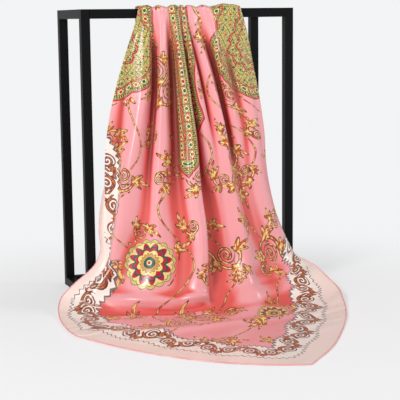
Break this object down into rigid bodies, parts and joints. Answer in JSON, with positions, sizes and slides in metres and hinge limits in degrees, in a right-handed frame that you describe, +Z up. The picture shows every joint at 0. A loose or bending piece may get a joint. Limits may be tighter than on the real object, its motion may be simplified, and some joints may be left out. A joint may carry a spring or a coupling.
{
  "type": "silk square scarf draped over a box-frame display stand",
  "caption": "Printed satin square draped in soft pleats over the front top rail of an open box-frame stand, with its front corner spread on the surface.",
  "frame": {"origin": "on the resting surface, under the middle of the bounding box", "axes": "+Z up; -Y is the front, where the scarf spreads on the surface; +X is to the right seen from the front"},
  "size_m": [0.4764, 0.62, 0.491],
  "materials": {
    "satin": "smooth silk satin with a soft sheen, printed in pink, cream, rust, gold and slate",
    "hem": "rolled and hand-stitched satin hem, deeper pink",
    "stand": "black powder coat, fine and slightly satin"
  },
  "bodies": {
    "root": {"post_front_left": "stand", "post_front_right": "stand", "post_back_left": "stand", "post_back_right": "stand", "rail_bottom_front": "stand", "rail_bottom_back": "stand", "rail_bottom_left": "stand", "rail_bottom_right": "stand", "rail_top_front": "stand", "rail_top_back": "stand", "rail_top_left": "stand", "rail_top_right": "stand", "scarf_tail": "satin", "scarf_over_rail": "satin", "scarf_fall": "satin", "scarf_apron": "satin", "hem_left": "hem", "hem_right": "hem", "hem_front": "hem", "hem_back": "hem"}
  },
  "joints": []
}
